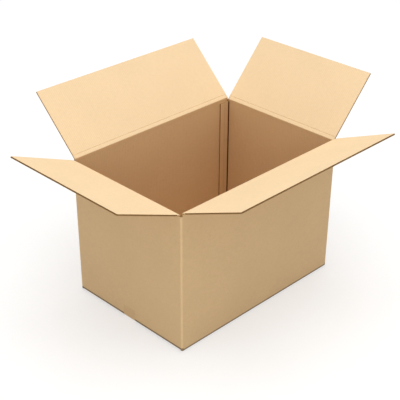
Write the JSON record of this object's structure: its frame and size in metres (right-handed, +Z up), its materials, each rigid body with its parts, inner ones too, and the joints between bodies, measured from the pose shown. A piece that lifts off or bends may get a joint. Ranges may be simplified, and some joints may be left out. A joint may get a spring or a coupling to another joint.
{
  "type": "double wall shipping box",
  "caption": "Open corrugated shipping box with four hinged top flaps, a glued corner joint and a taped two-layer bottom.",
  "frame": {"origin": "on the floor at the middle of the box, on the outer face of the bottom", "axes": "+Z up out of the open top, +X along the two long walls, +Y towards the long wall that holds the glued joint"},
  "size_m": [1.0142, 0.8161, 0.6173],
  "materials": {
    "kraft_board": "matte",
    "kraft_flap": "matte",
    "packing_tape": "satin"
  },
  "bodies": {
    "box": {"carton_body": "kraft_board", "bottom_tape": "packing_tape"},
    "flap_front": {"top_flap_front": "kraft_flap"},
    "flap_right": {"top_flap_right": "kraft_flap"},
    "flap_back": {"top_flap_back": "kraft_flap"},
    "flap_left": {"top_flap_left": "kraft_flap"}
  },
  "joints": [
    {"name": "front_flap_fold", "type": "hinge", "parent": "box", "child": "flap_front", "pos_m": [0, -0.225, 0.45], "axis": [1, 0, 0], "range_deg": [-157, 103]},
    {"name": "right_flap_fold", "type": "hinge", "parent": "box", "child": "flap_right", "pos_m": [0.324, 0, 0.445], "axis": [0, 1, 0], "range_deg": [-132.4, 127.6]},
    {"name": "back_flap_fold", "type": "hinge", "parent": "box", "child": "flap_back", "pos_m": [0, 0.225, 0.45], "axis": [-1, 0, 0], "range_deg": [-135.4, 124.6]},
    {"name": "left_flap_fold", "type": "hinge", "parent": "box", "child": "flap_left", "pos_m": [-0.324, 0, 0.445], "axis": [0, -1, 0], "range_deg": [-157.4, 102.6]}
  ]
}
